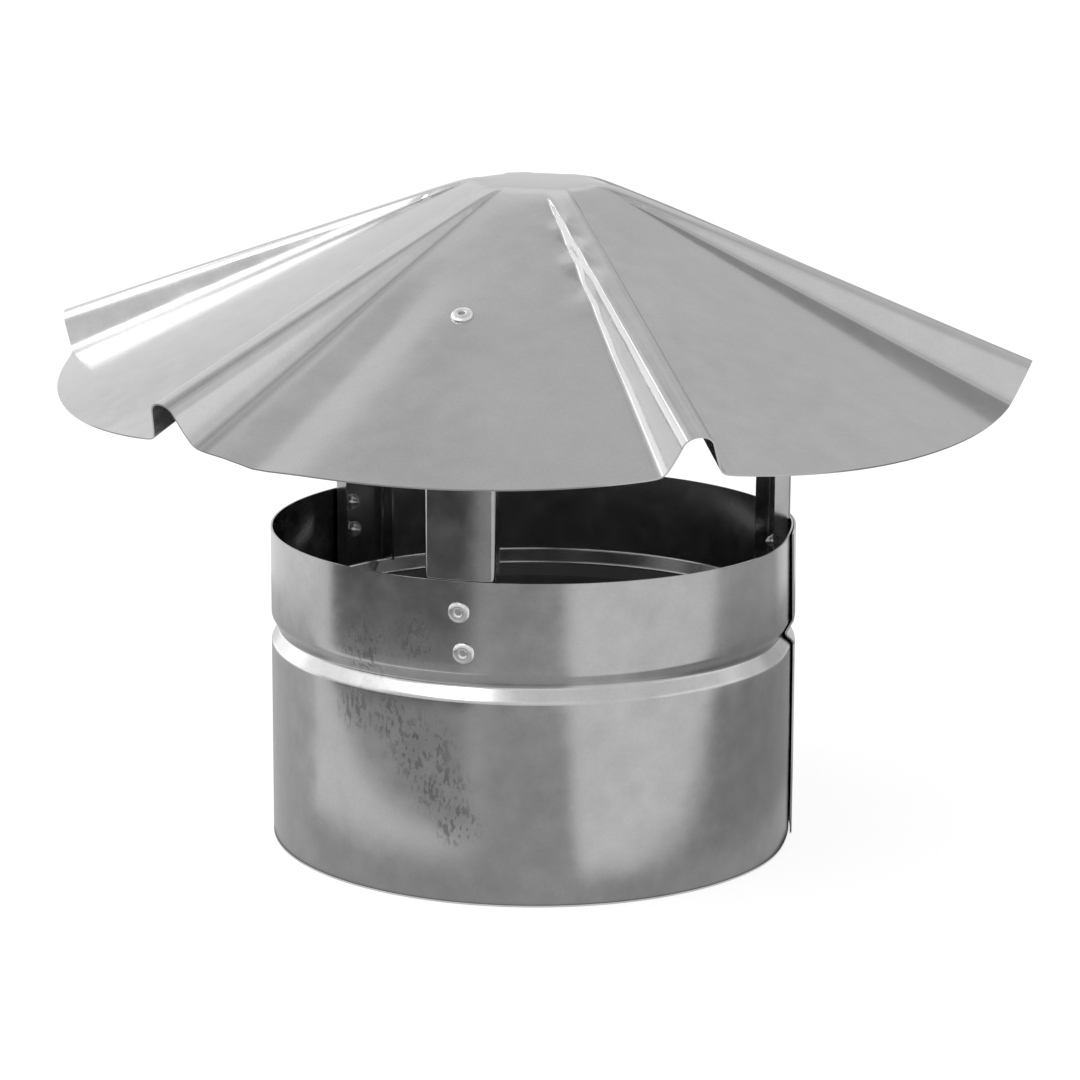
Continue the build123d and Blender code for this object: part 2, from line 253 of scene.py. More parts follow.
# Table patches of painted reflection, darker ones for the darker room and a bright one for a window, and
# a painted shadow under the collar. Each is laid over those before it, and has its near, far and
# farthest tone and its borders: what is measured (azimuths in degrees, lengths in metres), the limit,
# the width of the soft change, and 1 or -1 for a patch above or below the limit.
TABLE_PAINTED_REFLECTIONS_AND_SHADOW = (
    (0.46, 0.90, 0.90, ()),
    (0.85, 0.85, 0.85, (
        ("strip", 0, 0.01, 1),
        ("x", 0, 0.02, -1),
        ("radius", FAR_REFLECTIONS, FAR_SOFTNESS, -1),
        ("radius", 0.115, 0.03, 1),
    )),
    (0.54, 0.54, 0.54, (
        ("strip", 0, 0.01, -1),
        ("x", 0, 0.02, -1),
        ("radius", FAR_REFLECTIONS, FAR_SOFTNESS, -1),
    )),
    (0.40, 0.155, 0.05, (
        ("y", 0, 0.01, -1),
        ("azimuth", -20, 16, -1),
        ("dark_front", 0, 0.015, 1),
        ("dark_left", 0, 0.008, -1),
    )),
    (0.43, 0.38, 0.38, (
        ("azimuth", -20, 16, 1),
        ("azimuth", 13, 5, -1),
    )),
    (0.86, 0.86, 0.86, (
        ("azimuth", 13, 5, 1),
    )),
    (0.30, 0.46, 0.46, (
        ("azimuth", 13, 5, 1),
        ("y", -0.085, 0.04, 1),
    )),
    (0.75, 0.75, 0.75, (
        ("azimuth", 13, 5, 1),
        ("radius", FAR_REFLECTIONS, FAR_SOFTNESS, 1),
        ("azimuth", 130, 10, 1),
    )),
    (1.95, 1.95, 1.95, (
        ("radius", 0.6, 0.1, 1),
        ("azimuth", -104, 4, -1),
        ("azimuth", -150, 4, 1),
    )),
    (0.42, 0.42, 0.42, (
        ("radius", 0.098, 0.03, -1),
        ("azimuth", -40, 30, 1),
    )),
    # Painted shadow: a near-black patch under the collar, standing in for the shade inside it.
    (0.04, 0.04, 0.04, (
        ("radius", 0.076, 0.002, -1),
    )),
)

# Softboxes: name, azimuth and elevation in degrees, distance from the point that they face, width,
# height and power
LIT_POINT = (0, 0, 0.1)
SOFTBOXES = (
    ("window", -120, 43, 1.6, 0.75, 0.12, 0.6),
    ("key", -62, 41, 1.5, 1.8, 0.42, 5.6),
)
# Floor: half its side, its grey in the room's light, its grey and its glow as it is seen
FLOOR_SIDE = 6.0
FLOOR_GREY = 0.8
SEEN_FLOOR_GREY = 0.3
SEEN_FLOOR_GLOW = 0.80
# Strength of the world on dull surfaces, where it is 1 as it is seen
DULL_WORLD = 0.9

# Camera, from the photograph's perspective
CAMERA_PLACE = (-0.0001, -0.9984, 0.3145)
CAMERA_YAW = -0.0018
CAMERA_PITCH = 0.2256
CAMERA_ROLL = -0.0055
CAMERA_LENS = 118.75
CAMERA_REACH = 50
SENSOR = 36.0


# Meshes


def grid_faces(rows, columns, ring):
    """Quads of a grid of rows by columns, row by row. On a ring the last column meets the first."""
    index = np.arange(rows * columns).reshape(rows, columns)
    if ring:
        index = np.hstack([index, index[:, :1]])
    corners = [index[:-1, :-1], index[1:, :-1], index[1:, 1:], index[:-1, 1:]]
    return np.stack(corners, axis=-1).reshape(-1, 4)


def unit(vectors):
    """Vectors scaled to length one."""
    return vectors / np.linalg.norm(vectors, axis=-1, keepdims=True)


def grid_normals(points, ring):
    """Normal at each point of a grid: the step across the rows times the step along them."""
    if ring:
        padded = np.concatenate([points[:, -1:], points, points[:, :1]], axis=1)
        along = padded[:, 2:] - padded[:, :-2]
    else:
        along = np.gradient(points, axis=1)
    across = np.gradient(points, axis=0)
    return unit(np.cross(across, along))


def in_scene(name, data):
    """New object at the origin of the scene, with its mesh, lamp or camera."""
    thing = bpy.data.objects.new(name, data)
    bpy.context.scene.collection.objects.link(thing)
    return thing


def mesh_object(name, vertices, faces):
    """Object at the origin, smooth but for its sharp edges."""
    mesh = bpy.data.meshes.new(name)
    mesh.from_pydata(vertices, [], faces)
    mesh.validate()
    mesh.shade_smooth()
    mesh.set_sharp_from_angle(angle=SHARP_EDGE)
    return in_scene(name, mesh)


def wall_of_sheet(name, outer, thickness, ring, pole=None):
    """Closed sheet: the outer grid, the same grid moved inwards by its thickness, and its cut edges.

    With a pole, the first row closes on one point of the outer face and one of the inner face.
    """
    rows, columns = outer.shape[:2]
    inner = outer - thickness * grid_normals(outer, ring)
    count = rows * columns
    shell = grid_faces(rows, columns, ring)
    faces = [shell, shell[:, ::-1] + count]
    index = np.arange(count).reshape(rows, columns)
    if ring:
        index = np.hstack([index, index[:, :1]])
    borders = [index[-1]] if ring else [index[-1], index[::-1, -1], index[0, ::-1], index[:, 0]]
    if pole is None and ring:
        borders.append(index[0, ::-1])
    for line in borders:
        faces.append(np.stack([line[:-1], line[:-1] + count, line[1:] + count, line[1:]], axis=-1))
    vertices = np.concatenate([outer.reshape(-1, 3), inner.reshape(-1, 3)])
    faces = [tuple(face) for face in np.concatenate(faces).tolist()]
    if pole is not None:
        tip = len(vertices)
        vertices = np.vstack([vertices, pole, pole - [0, 0, thickness]])
        first = index[0].tolist()
        faces += [(tip, a, b) for a, b in zip(first[:-1], first[1:])]
        faces += [(tip + 1, b + count, a + count) for a, b in zip(first[:-1], first[1:])]
    return mesh_object(name, vertices.tolist(), faces)


def plan(radius, azimuth):
    """Plan position, x and y, of points at a radius and an azimuth."""
    return radius * np.sin(azimuth), -radius * np.cos(azimuth)


def smooth_step(value):
    """0 below 0, 1 above 1, and 3v2 - 2v3 between."""
    value = np.clip(value, 0, 1)
    return value * value * (3 - 2 * value)


# Hat


def panel_steepness(turn):
    """Fall of a panel for each metre outwards, at a turn from its middle.

    The panel is part of a right cone through the apex whose axis leans away from the panel, so
    the fall m solves (s cos t + c m)^2 = h^2 (1 + m^2), with s and c the sine and cosine of the
    lean, t the turn and h the cosine of the cone's half angle.
    """
    lean = atan2(
        sin(PANEL_SLOPE) - sin(PANEL_SLOPE_AT_RIB),
        cos(PANEL_SLOPE) - cos(PANEL_SLOPE_AT_RIB) * cos(RIB_PITCH / 2),
    )
    half_angle = pi / 2 - PANEL_SLOPE + lean
    away = sin(lean) * np.cos(turn)
    upright = cos(lean)
    spread = cos(half_angle)
    square = upright**2 - spread**2
    root = np.sqrt((away * upright) ** 2 - square * (away**2 - spread**2))
    return (away * upright + root) / square


def shoulder_drop(past_edge, radius):
    """Fall below a flat crest past its edge: none, then a round shoulder, then the steep flank."""
    flank = tan(FLANK_ANGLE) / cos(CREST_SLOPE)
    start = -radius * tan(FLANK_ANGLE / 2)
    end = start + radius * sin(FLANK_ANGLE)
    arc = radius - np.sqrt(np.maximum(radius**2 - (past_edge - start) ** 2, 0))
    return np.where(past_edge < start, 0, np.where(past_edge < end, arc, flank * past_edge))


def way_out(along):
    """0 where the ribs begin at the crown, 1 at the rim."""
    return smooth_step((along - RIB_START) / (RIM_RADIUS - RIB_START))


def rib_height(along, across):
    """Height of a rib's surface at a distance along it from the hat's axis and across it."""
    radius = SHOULDER_AT_CROWN + way_out(along) * (SHOULDER_AT_RIM - SHOULDER_AT_CROWN)
    crest = HAT_TOP - (along - RIB_START) * tan(CREST_SLOPE)
    return crest - shoulder_drop(np.abs(across) - CREST_WIDTH / 2, radius)


def hat_height(radius, turn):
    """Height of the hat at a radius and a turn from the nearer rib.

    It is the soft maximum of panel and rib, then the soft minimum of that and the flat crown,
    each of the form (a + b +- sqrt((a - b)^2 + k^2)) / 2.
    """
    along = radius * np.cos(turn)
    panel = HAT_APEX - radius * panel_steepness(RIB_PITCH / 2 - np.abs(turn))
    rib = rib_height(along, radius * np.sin(turn))
    foot = FOOT_AT_CROWN + way_out(along) * (FOOT_AT_RIM - FOOT_AT_CROWN)
    surface = (panel + rib + np.sqrt((panel - rib) ** 2 + foot**2)) / 2
    return (surface + HAT_TOP - np.sqrt((surface - HAT_TOP) ** 2 + CROWN_SOFTNESS**2)) / 2


def hat_turns(radius):
    """Turns from a rib of the columns of one sector: close together on the rib, wider on the panel."""
    zone = np.minimum(RIB_ZONE, RIB_ZONE_SHARE * radius)
    rib = zone * np.linspace(0, 1, RIB_COLUMNS)[None, :]
    rib = np.arcsin(np.minimum(rib / radius, 1))
    border = rib[:, -1:]
    panel = border + (RIB_PITCH - 2 * border) * np.linspace(0, 1, PANEL_COLUMNS)[None, 1:-1]
    return np.hstack([rib, panel, RIB_PITCH - rib[:, :0:-1]])


def hat_grid():
    """Outer surface of the hat, a row for each share of the way from crown to rim.

    A column ends where its slant length from the crown's edge is that of the flat disc.
    """
    crown = np.linspace(FIRST_ROW, CROWN_END, CROWN_ROWS)
    share = np.concatenate([crown, np.linspace(CROWN_END, 1, PANEL_ROWS)[1:]])
    reach = np.full((len(share), hat_turns(np.array([[RIM_RADIUS]])).shape[1]), RIM_RADIUS)
    for _ in range(REACH_ROUNDS):
        radius = share[:, None] * reach
        turn = hat_turns(radius[:, :1])
        near = np.where(turn > RIB_PITCH / 2, turn - RIB_PITCH, turn)
        fall = HAT_TOP - hat_height(reach, near[-1:])
        reach = CROWN_RADIUS + np.sqrt(SLANT_LENGTH**2 - fall**2)
    radius = share[:, None] * reach
    height = hat_height(radius, near)
    sectors = []
    for index in range(RIB_COUNT):
        x, y = plan(radius, RIB_AZIMUTH + index * RIB_PITCH + turn)
        sectors.append(np.stack([x, y, height + hand_marks(x, y, radius)], axis=-1))
    return leaned(np.concatenate(sectors, axis=1))


def hand_marks(x, y, radius):
    """Height that handling adds to the hat: low waves, a trough, and bell-shaped rises and dents.

    A bell is its height times exp(-(distance / reach)^2). There is one over each leg's tab and
    one for each dent. The waves are a product of two sines, and grow evenly towards the rim. The
    trough and the sag of the rear set in as smooth steps.
    """
    x_length, x_start = WAVE_ALONG_X
    y_length, y_start = WAVE_ALONG_Y
    waves = np.sin(x / x_length + x_start) * np.sin(y / y_length + y_start)
    rise = WAVE_HEIGHT * waves * (radius / RIM_RADIUS)
    for azimuth in LEG_AZIMUTHS:
        tab_x, tab_y = plan(HAT_RIVET_RADIUS, azimuth)
        rise += TAB_RISE * np.exp(-((x - tab_x) ** 2 + (y - tab_y) ** 2) / TAB_REACH**2)
    left_rib = RIB_AZIMUTH - RIB_PITCH
    along = x * sin(left_rib) - y * cos(left_rib)
    past = x * cos(left_rib) + y * sin(left_rib) - TROUGH_START - TROUGH_DRIFT * along
    dip = smooth_step(past / TROUGH_WIDTH + 0.5) * np.exp(-((np.maximum(past, 0) / TROUGH_REACH) ** 2))
    rise -= TROUGH_DEPTH * dip * smooth_step((along - TROUGH_HEAD) / TROUGH_GROWTH)
    for along, across, height, reach in DENTS:
        dent_x, dent_y = plan(np.hypot(along, across), RIB_AZIMUTH + atan2(across, along))
        rise += height * np.exp(-((x - dent_x) ** 2 + (y - dent_y) ** 2) / reach**2)
    return rise - REAR_SAG * smooth_step((y / RIM_RADIUS - SAG_START) / SAG_GROWTH)


def leaned(points):
    """Points of the level hat turned about its seat by its lean."""
    axis = Vector((cos(LEAN_AZIMUTH), sin(LEAN_AZIMUTH), 0))
    turn = np.array(Matrix.Rotation(LEAN, 3, axis))
    seat = np.array([0, 0, SEAT_HEIGHT])
    return (points - seat) @ turn.T + seat


def make_hat():
    """Pressed hat, in one piece, closed at the middle of its crown."""
    pole = leaned(np.array([0, 0, HAT_TOP]))
    return wall_of_sheet("ribbed_hat", hat_grid(), SHEET, True, pole)


# Collar


def bead_inset(height):
    """How far the wall is pressed inwards at a height: two even slopes, rounded at foot and root.

    The slope grows evenly over the rounding, so the inset is a parabola there and a line between.
    """
    depth = np.clip(BEAD_HALF_WIDTH - np.abs(height - BEAD_HEIGHT), 0, BEAD_HALF_WIDTH)
    run = BEAD_HALF_WIDTH - BEAD_ROUNDING
    foot = depth**2 / (2 * BEAD_ROUNDING)
    root = (BEAD_HALF_WIDTH - depth) ** 2 / (2 * BEAD_ROUNDING)
    middle = depth - BEAD_ROUNDING / 2
    inset = np.where(depth < BEAD_ROUNDING, foot, middle)
    inset = np.where(depth > run, run - root, inset)
    return BEAD_DEPTH / run * inset


def flatness(turn, height):
    """How far the wall lies inside its circle beside the lap, where the rolled end stays flatter."""
    depth = FLAT_AT_FOOT + (FLAT_AT_RIM - FLAT_AT_FOOT) * (height / COLLAR_HEIGHT) ** 2
    away = (turn - LAP_OUTER_EDGE + pi) % (2 * pi) - pi
    return depth * np.exp(-((away / FLAT_REACH) ** 2))


def lap_lift(turn, height):
    """How far the lap's free edge stands off: most just above the bead, and less to both sides."""
    free = np.clip((LAP_RIVET_LINE - turn) / (LAP_RIVET_LINE - LAP_OUTER_EDGE), 0, 1) ** 2
    up = smooth_step((height - BEAD_HEIGHT) / BEAD_HALF_WIDTH)
    past = np.clip((height - BEAD_HEIGHT) / (COLLAR_HEIGHT - BEAD_HEIGHT), 0, 1)
    above = LAP_LIFT_ABOVE_BEAD + past * (LAP_LIFT_AT_RIM - LAP_LIFT_ABOVE_BEAD)
    return free * (LAP_LIFT_BELOW_BEAD + up * (above - LAP_LIFT_BELOW_BEAD))


def collar_grid():
    """Outer face of the collar from the lap's free edge round to the end hidden under it.

    The wall has three tangent arcs: the lap layer, a rear half turn about a shifted centre,
    and a front half turn that runs under the lap. The lap's free edge is cut a little aslant.
    """
    bead_foot = BEAD_HEIGHT - BEAD_HALF_WIDTH
    bead_top = BEAD_HEIGHT + BEAD_HALF_WIDTH
    height = np.concatenate([
        np.linspace(0, bead_foot, ROWS_BELOW_BEAD),
        np.linspace(bead_foot, bead_top, BEAD_ROWS)[1:],
        np.linspace(bead_top, COLLAR_HEIGHT, ROWS_ABOVE_BEAD)[1:],
    ])[:, None]
    start = LAP_OUTER_EDGE + LAP_EDGE_SLANT * smooth_step((BEAD_HEIGHT - height) / BEAD_HALF_WIDTH)
    lap = start + (LAP_INNER_EDGE - start) * np.linspace(0, 1, LAP_COLUMNS)[None, :-1]
    round_wall = np.linspace(LAP_INNER_EDGE, LAP_INNER_EDGE + 2 * pi, WALL_COLUMNS)[None, :] + 0 * height
    turn = np.hstack([lap, round_wall])
    rear = (turn > LAP_INNER_EDGE) & (turn < LAP_INNER_EDGE + pi)
    radius = np.where(turn <= LAP_INNER_EDGE, COLLAR_RADIUS + LAP_STEP, COLLAR_RADIUS)
    radius = np.where(rear, COLLAR_RADIUS + LAP_STEP / 2, radius)
    radius = radius + lap_lift(turn, height) - bead_inset(height) - flatness(turn, height)
    x, y = plan(radius, turn)
    shift_x, shift_y = plan(LAP_STEP / 2, LAP_INNER_EDGE)
    return np.stack([x + rear * shift_x, y + rear * shift_y, height + 0 * turn], axis=-1)


def make_collar():
    """Rolled collar, in one piece."""
    return wall_of_sheet("rolled_collar", collar_grid(), SHEET, False)


# Rivets


def rivet_outline(grip):
    """Closed outline of a set rivet, radius and height: domed head, shank and swollen blind end."""
    dome = np.linspace(0, pi / 2, DOME_STEPS)
    crest = RIVET_BORE + RIVET_LIP
    head = np.stack([
        crest + (RIVET_HEAD - crest) * np.sin(dome),
        RIVET_EDGE + (RIVET_HEAD_HEIGHT - RIVET_EDGE) * np.cos(dome),
    ], axis=-1)
    share = np.linspace(0, 1, BULB_STEPS)
    turned_in = (RIVET_SHANK - RIVET_BORE - RIVET_EDGE) * share**4
    bulb = np.stack([
        RIVET_SHANK + BULB_SWELL * np.sin(pi * share) - turned_in,
        -grip - BULB_LENGTH * share,
    ], axis=-1)
    lip = [(RIVET_BORE, RIVET_HEAD_HEIGHT - RIVET_LIP / 2)]
    under = [(RIVET_HEAD, 0), (RIVET_SHANK, 0)]
    end = [(RIVET_BORE, -grip - BULB_LENGTH)]
    return np.concatenate([lip, head, under, bulb, end])


def rivets(name, places, grips):
    """Rivets turned about their own axes, each given by its place and outward direction."""
    angle = np.linspace(0, 2 * pi, RIVET_SIDES, endpoint=False)
    vertices, faces = [], []
    for (origin, outward), grip in zip(places, grips):
        outline = rivet_outline(grip)
        outline = np.vstack([outline, outline[:1]])
        side = np.array(outward.orthogonal().normalized())
        other = np.cross(np.array(outward), side)
        around = np.cos(angle)[:, None] * side + np.sin(angle)[:, None] * other
        ring = outline[:-1, 0, None, None] * around + outline[:-1, 1, None, None] * np.array(outward)
        count = RIVET_SIDES * (len(outline) - 1)
        faces.append(grid_faces(len(outline), RIVET_SIDES, True) % count + len(vertices) * count)
        vertices.append((ring + np.array(origin)).reshape(-1, 3))
    return mesh_object(name, np.concatenate(vertices).tolist(), np.concatenate(faces).tolist())


def wall_seat(azimuth):
    """Centre and outer radius of the wall at an azimuth: front arc, wider rear arc or lap."""
    if LAP_OUTER_EDGE < azimuth < LAP_INNER_EDGE:
        return Vector((0, 0, 0)), COLLAR_RADIUS + LAP_STEP
    if LAP_INNER_EDGE - pi < azimuth < LAP_INNER_EDGE:
        return Vector((0, 0, 0)), COLLAR_RADIUS
    return Vector((*plan(LAP_STEP / 2, LAP_INNER_EDGE), 0)), COLLAR_RADIUS + LAP_STEP / 2


def make_collar_rivets():
    """Two rivets a leg through the collar's wall."""
    places, grips = [], []
    for azimuth, pair in zip(LEG_AZIMUTHS, LEG_RIVETS):
        centre, radius = wall_seat(azimuth)
        for depth, shift in pair:
            outward = Vector((*plan(1, azimuth + shift / COLLAR_RADIUS), 0))
            places.append((centre + outward * radius + Vector((0, 0, COLLAR_HEIGHT - depth)), outward))
            grips.append(radius - COLLAR_RADIUS + SHEET + LEG_SHEET)
    return rivets("collar_blind_rivets", places, grips)


def make_hat_rivets():
    """One rivet a leg through the hat's panel."""
    places = []
    for azimuth in LEG_AZIMUTHS:
        turn = (azimuth - RIB_AZIMUTH) % RIB_PITCH
        turn = np.array([min(turn, RIB_PITCH - turn)])
        inner, outer = HAT_RIVET_RADIUS - SEAT_STEP, HAT_RIVET_RADIUS + SEAT_STEP
        near, far = [float(hat_height(radius, turn)[0]) for radius in (inner, outer)]
        x, y = plan(HAT_RIVET_RADIUS, azimuth)
        middle = np.array([x, y, (near + far) / 2 + float(hand_marks(x, y, HAT_RIVET_RADIUS))])
        fall = np.array([*plan(2 * SEAT_STEP, azimuth), far - near])
        across = np.array([cos(azimuth), sin(azimuth), 0])
        origin, ahead, aside = leaned(np.array([middle, middle + fall, middle + across]))
        outward = Vector(np.cross(aside - origin, ahead - origin)).normalized()
        places.append((Vector(origin), -outward if outward.z < 0 else outward))
    return rivets("hat_blind_rivets", places, [SHEET + LEG_SHEET] * len(places))


# Materials


class Nodes:
    """Node tree of a material or a world, with short calls to add and link nodes."""

    def __init__(self, owner):
        owner.use_nodes = True
        self.tree = owner.node_tree
        self.tree.nodes.clear()

    def add(self, kind, inputs=None, **settings):
        """New node with its settings, and its inputs set or linked."""
        node = self.tree.nodes.new(kind)
        for key, value in settings.items():
            setattr(node, key, value)
        for key, value in (inputs or {}).items():
            if isinstance(value, bpy.types.NodeSocket):
                self.tree.links.new(value, node.inputs[key])
            else:
                node.inputs[key].default_value = value
        return node

    def both(self, operation, first, second):
        """Sum, product or larger one of two values."""
        return self.add("ShaderNodeMath", {0: first, 1: second}, operation=operation).outputs[0]

    def ranged(self, value, before, after, **settings):
        """Value taken from one range to another and kept inside it."""
        limits = {0: value, 1: before[0], 2: before[1], 3: after[0], 4: after[1]}
        return self.add("ShaderNodeMapRange", limits, **settings).outputs[0]

    def spread(self, value, centre, reach):
        """Noise mapped to a centre plus or minus a reach."""
        return self.ranged(value, NOISE_RANGE, (centre - reach, centre + reach))

    def noise(self, place, scale, detail, distortion=0.0):
        """Soft noise between 0 and 1."""
        inputs = {"Vector": place, "Scale": scale, "Detail": detail, "Distortion": distortion}
        return self.add("ShaderNodeTexNoise", inputs).outputs["Fac"]

    def product(self, *values):
        """Product of several values."""
        result = values[0]
        for value in values[1:]:
            result = self.both("MULTIPLY", result, value)
        return result


def stains(nodes, place, spots):
    """0 to 1 where the zinc is stained: short upright marks inside soft round spots."""
    tall = nodes.add("ShaderNodeMapping", {"Vector": place, "Scale": (1.0, 1.0, STAIN_STRETCH)})
    marks = nodes.noise(tall.outputs[0], *STAIN_MARKS)
    marks = nodes.ranged(marks, STAIN_NOISE, (STAIN_FADE, 1.0))
    cover = 0.0
    for centre, reach in spots:
        far = nodes.add("ShaderNodeVectorMath", {0: place, 1: centre}, operation="DISTANCE")
        limits = (reach, reach * STAIN_CORE)
        near = nodes.ranged(far.outputs["Value"], limits, (0.0, 1.0), interpolation_type="SMOOTHSTEP")
        cover = nodes.both("MAXIMUM", near, cover)
    return nodes.both("MULTIPLY", marks, cover)


def metal_surface(nodes, tone, roughness, normal=None):
    """Bare metal of a grey tone and a roughness, with an uneven normal if one is given."""
    colour = nodes.add("ShaderNodeCombineColor", {0: tone, 1: tone, 2: tone})
    inputs = {"Base Color": colour.outputs[0], "Metallic": 1.0, "Roughness": roughness}
    if normal is not None:
        inputs["Normal"] = normal
    shader = nodes.add("ShaderNodeBsdfPrincipled", inputs)
    nodes.add("ShaderNodeOutputMaterial", {"Surface": shader.outputs[0]})


def galvanised(name, grey, roughness, mottling, spots=()):
    """Zinc-coated sheet: cloudy grey with a finer mottle and grain, and stained in some spots."""
    material = bpy.data.materials.new(name)
    nodes = Nodes(material)
    place = nodes.add("ShaderNodeTexCoord").outputs["Object"]
    cloud = nodes.noise(place, *CLOUDS)
    mottle = nodes.noise(place, *MOTTLE)
    grain = nodes.spread(nodes.noise(place, *GRAIN), grey, GRAIN_REACH)
    tone = nodes.product(nodes.spread(cloud, 1, mottling), nodes.spread(mottle, 1, mottling), grain)
    rough = nodes.both(
        "MULTIPLY",
        nodes.spread(cloud, 1, CLOUD_ROUGHNESS),
        nodes.spread(mottle, roughness, MOTTLE_ROUGHNESS),
    )
    if spots:
        stain = stains(nodes, place, spots)
        tone = nodes.both("MULTIPLY", tone, nodes.ranged(stain, (0, 1), (1.0, STAIN_SHADE)))
        rough = nodes.both("ADD", rough, nodes.ranged(stain, (0, 1), (0.0, STAIN_DULLNESS)))
    waves = nodes.add("ShaderNodeBump", {"Height": cloud, **CLOUD_BUMP})
    bumps = nodes.add("ShaderNodeBump", {"Height": mottle, "Normal": waves.outputs[0], **MOTTLE_BUMP})
    metal_surface(nodes, tone, rough, bumps.outputs[0])
    return material


def plain_metal(name, grey, roughness):
    """Bright drawn metal with a fine uneven grain."""
    material = bpy.data.materials.new(name)
    nodes = Nodes(material)
    place = nodes.add("ShaderNodeTexCoord").outputs["Object"]
    grain = nodes.noise(place, *DRAWN_GRAIN)
    metal_surface(nodes, nodes.spread(grain, grey, grey * DRAWN_REACH), roughness)
    return material


def dress(piece, material):
    """Give a piece one material."""
    piece.data.materials.clear()
    piece.data.materials.append(material)


# Studio


def as_seen(nodes):
    """1 for rays from the camera, from a reflection or through glass, and 0 for other light."""
    ray = nodes.add("ShaderNodeLightPath").outputs
    seen = nodes.both("MAXIMUM", ray["Is Camera Ray"], ray["Is Glossy Ray"])
    return nodes.both("MAXIMUM", seen, ray["Is Transmission Ray"])


def make_floor():
    """Pale floor: white as it is seen, but for the object's soft shadow."""
    material = bpy.data.materials.new("pale_floor")
    nodes = Nodes(material)
    plain = nodes.add("ShaderNodeBsdfDiffuse", {"Color": (FLOOR_GREY, FLOOR_GREY, FLOOR_GREY, 1)})
    grey = (SEEN_FLOOR_GREY, SEEN_FLOOR_GREY, SEEN_FLOOR_GREY, 1)
    shaded = nodes.add("ShaderNodeBsdfDiffuse", {"Color": grey})
    glow = nodes.add("ShaderNodeEmission", {"Strength": SEEN_FLOOR_GLOW})
    seen = nodes.add("ShaderNodeAddShader", {0: shaded.outputs[0], 1: glow.outputs[0]})
    mixed = {0: as_seen(nodes), 1: plain.outputs[0], 2: seen.outputs[0]}
    mix = nodes.add("ShaderNodeMixShader", mixed)
    nodes.add("ShaderNodeOutputMaterial", {"Surface": mix.outputs[0]})
    side = FLOOR_SIDE
    mesh = bpy.data.meshes.new("floor")
    corners = [(-side, -side, 0), (side, -side, 0), (side, side, 0), (-side, side, 0)]
    mesh.from_pydata(corners, [], [(0, 1, 2, 3)])
    mesh.materials.append(material)
    piece = in_scene("floor", mesh)


def laid_over(tone, weight, new):
    """A tone with a new one laid over it by a weight."""
    return tone + (new - tone) * weight


def edge(distance, soft):
    """0 on one side of an edge and 1 on the other, with a soft change over a width."""
    return smooth_step(distance / soft + 0.5)


def beyond(x, y, start, end):
    """Distance of floor points from the line through two points, positive on its left."""
    ahead = np.array(end) - start
    return (ahead[0] * (y - start[1]) - ahead[1] * (x - start[0])) / np.hypot(*ahead)


def tent_tone(azimuth, elevation):
    """Tone of the glowing dome: near white, with brighter and duller patches of painted reflection laid
    in it.
    """
    tone = np.full(azimuth.shape, TENT_TONE)
    for middle, half_width, low, high, reflection_tone in TENT_PAINTED_REFLECTIONS:
        away = np.abs((azimuth - radians(middle) + pi) % (2 * pi) - pi)
        weight = edge(radians(half_width) - away, REFLECTION_EDGE)
        weight = weight * edge(elevation - radians(low), REFLECTION_EDGE)
        weight = weight * edge(radians(high) - elevation, REFLECTION_EDGE)
        tone = laid_over(tone, weight, reflection_tone)
    return tone


def table_tone(azimuth, radius):
    """Tone of the table: its patches of painted reflection and its painted shadow laid one over the
    other, each by the product of its borders.
    """
    x, y = plan(radius, azimuth)
    measures = {"azimuth": np.degrees(azimuth), "radius": radius, "x": x, "y": y}
    for name, (start, end) in TABLE_LINES.items():
        measures[name] = beyond(x, y, start, end)
    outer = edge(radius - FAR_REFLECTIONS, FAR_SOFTNESS)
    outermost = edge(radius - FARTHEST_REFLECTIONS, FARTHEST_SOFTNESS)
    tone = 0 * x
    for near, far, farthest, borders in TABLE_PAINTED_REFLECTIONS_AND_SHADOW:
        weight = 1
        for measure, limit, soft, side in borders:
            weight = weight * edge(side * (measures[measure] - limit), soft)
        new = laid_over(laid_over(near, outer, far), outermost, farthest)
        tone = laid_over(tone, weight, new)
    return tone


def glowing(name, points, tone):
    """Grid glowing with a tone at each point, which only the metal's reflections see, so that its tones
    are painted reflections and shade.
    """
    material = bpy.data.materials.new(name)
    nodes = Nodes(material)
    tones = nodes.add("ShaderNodeAttribute", attribute_name="tone").outputs["Fac"]
    glow = nodes.add("ShaderNodeEmission", {"Strength": tones})
    nodes.add("ShaderNodeOutputMaterial", {"Surface": glow.outputs[0]})
    material.cycles.emission_sampling = "NONE"
    mesh = bpy.data.meshes.new(name)
    faces = grid_faces(*points.shape[:2], True)
    mesh.from_pydata(points.reshape(-1, 3).tolist(), [], faces.tolist())
    mesh.attributes.new("tone", "FLOAT", "POINT").data.foreach_set("value", tone.ravel())
    mesh.materials.append(material)
    piece = in_scene(name, mesh)
    piece.visible_camera = False
    piece.visible_diffuse = False
    piece.visible_shadow = False
    piece.visible_transmission = False


def make_tent():
    """Glowing dome and round table of painted reflections, the table with a painted shadow under the
    collar.
    """
    azimuth = np.linspace(-pi, pi, TENT_COLUMNS, endpoint=False)[None, :]
    elevation = np.linspace(0, TENT_TOP, TENT_ROWS)[:, None] + 0 * azimuth
    x, y = plan(TENT_RADIUS * np.cos(elevation), azimuth)
    dome = np.stack([x, y, TENT_RADIUS * np.sin(elevation)], axis=-1)
    glowing("painted_reflection_dome", dome, tent_tone(azimuth + 0 * elevation, elevation))
    radius = np.concatenate([TABLE_MIDDLE, np.geomspace(TABLE_START, TENT_RADIUS, TABLE_ROWS)])
    radius = radius[:, None] + 0 * azimuth
    x, y = plan(radius, azimuth)
    table = np.stack([x, y, np.full(x.shape, TABLE_HEIGHT)], axis=-1)
    glowing("painted_reflection_and_shadow_table", table, table_tone(azimuth + 0 * radius, radius))


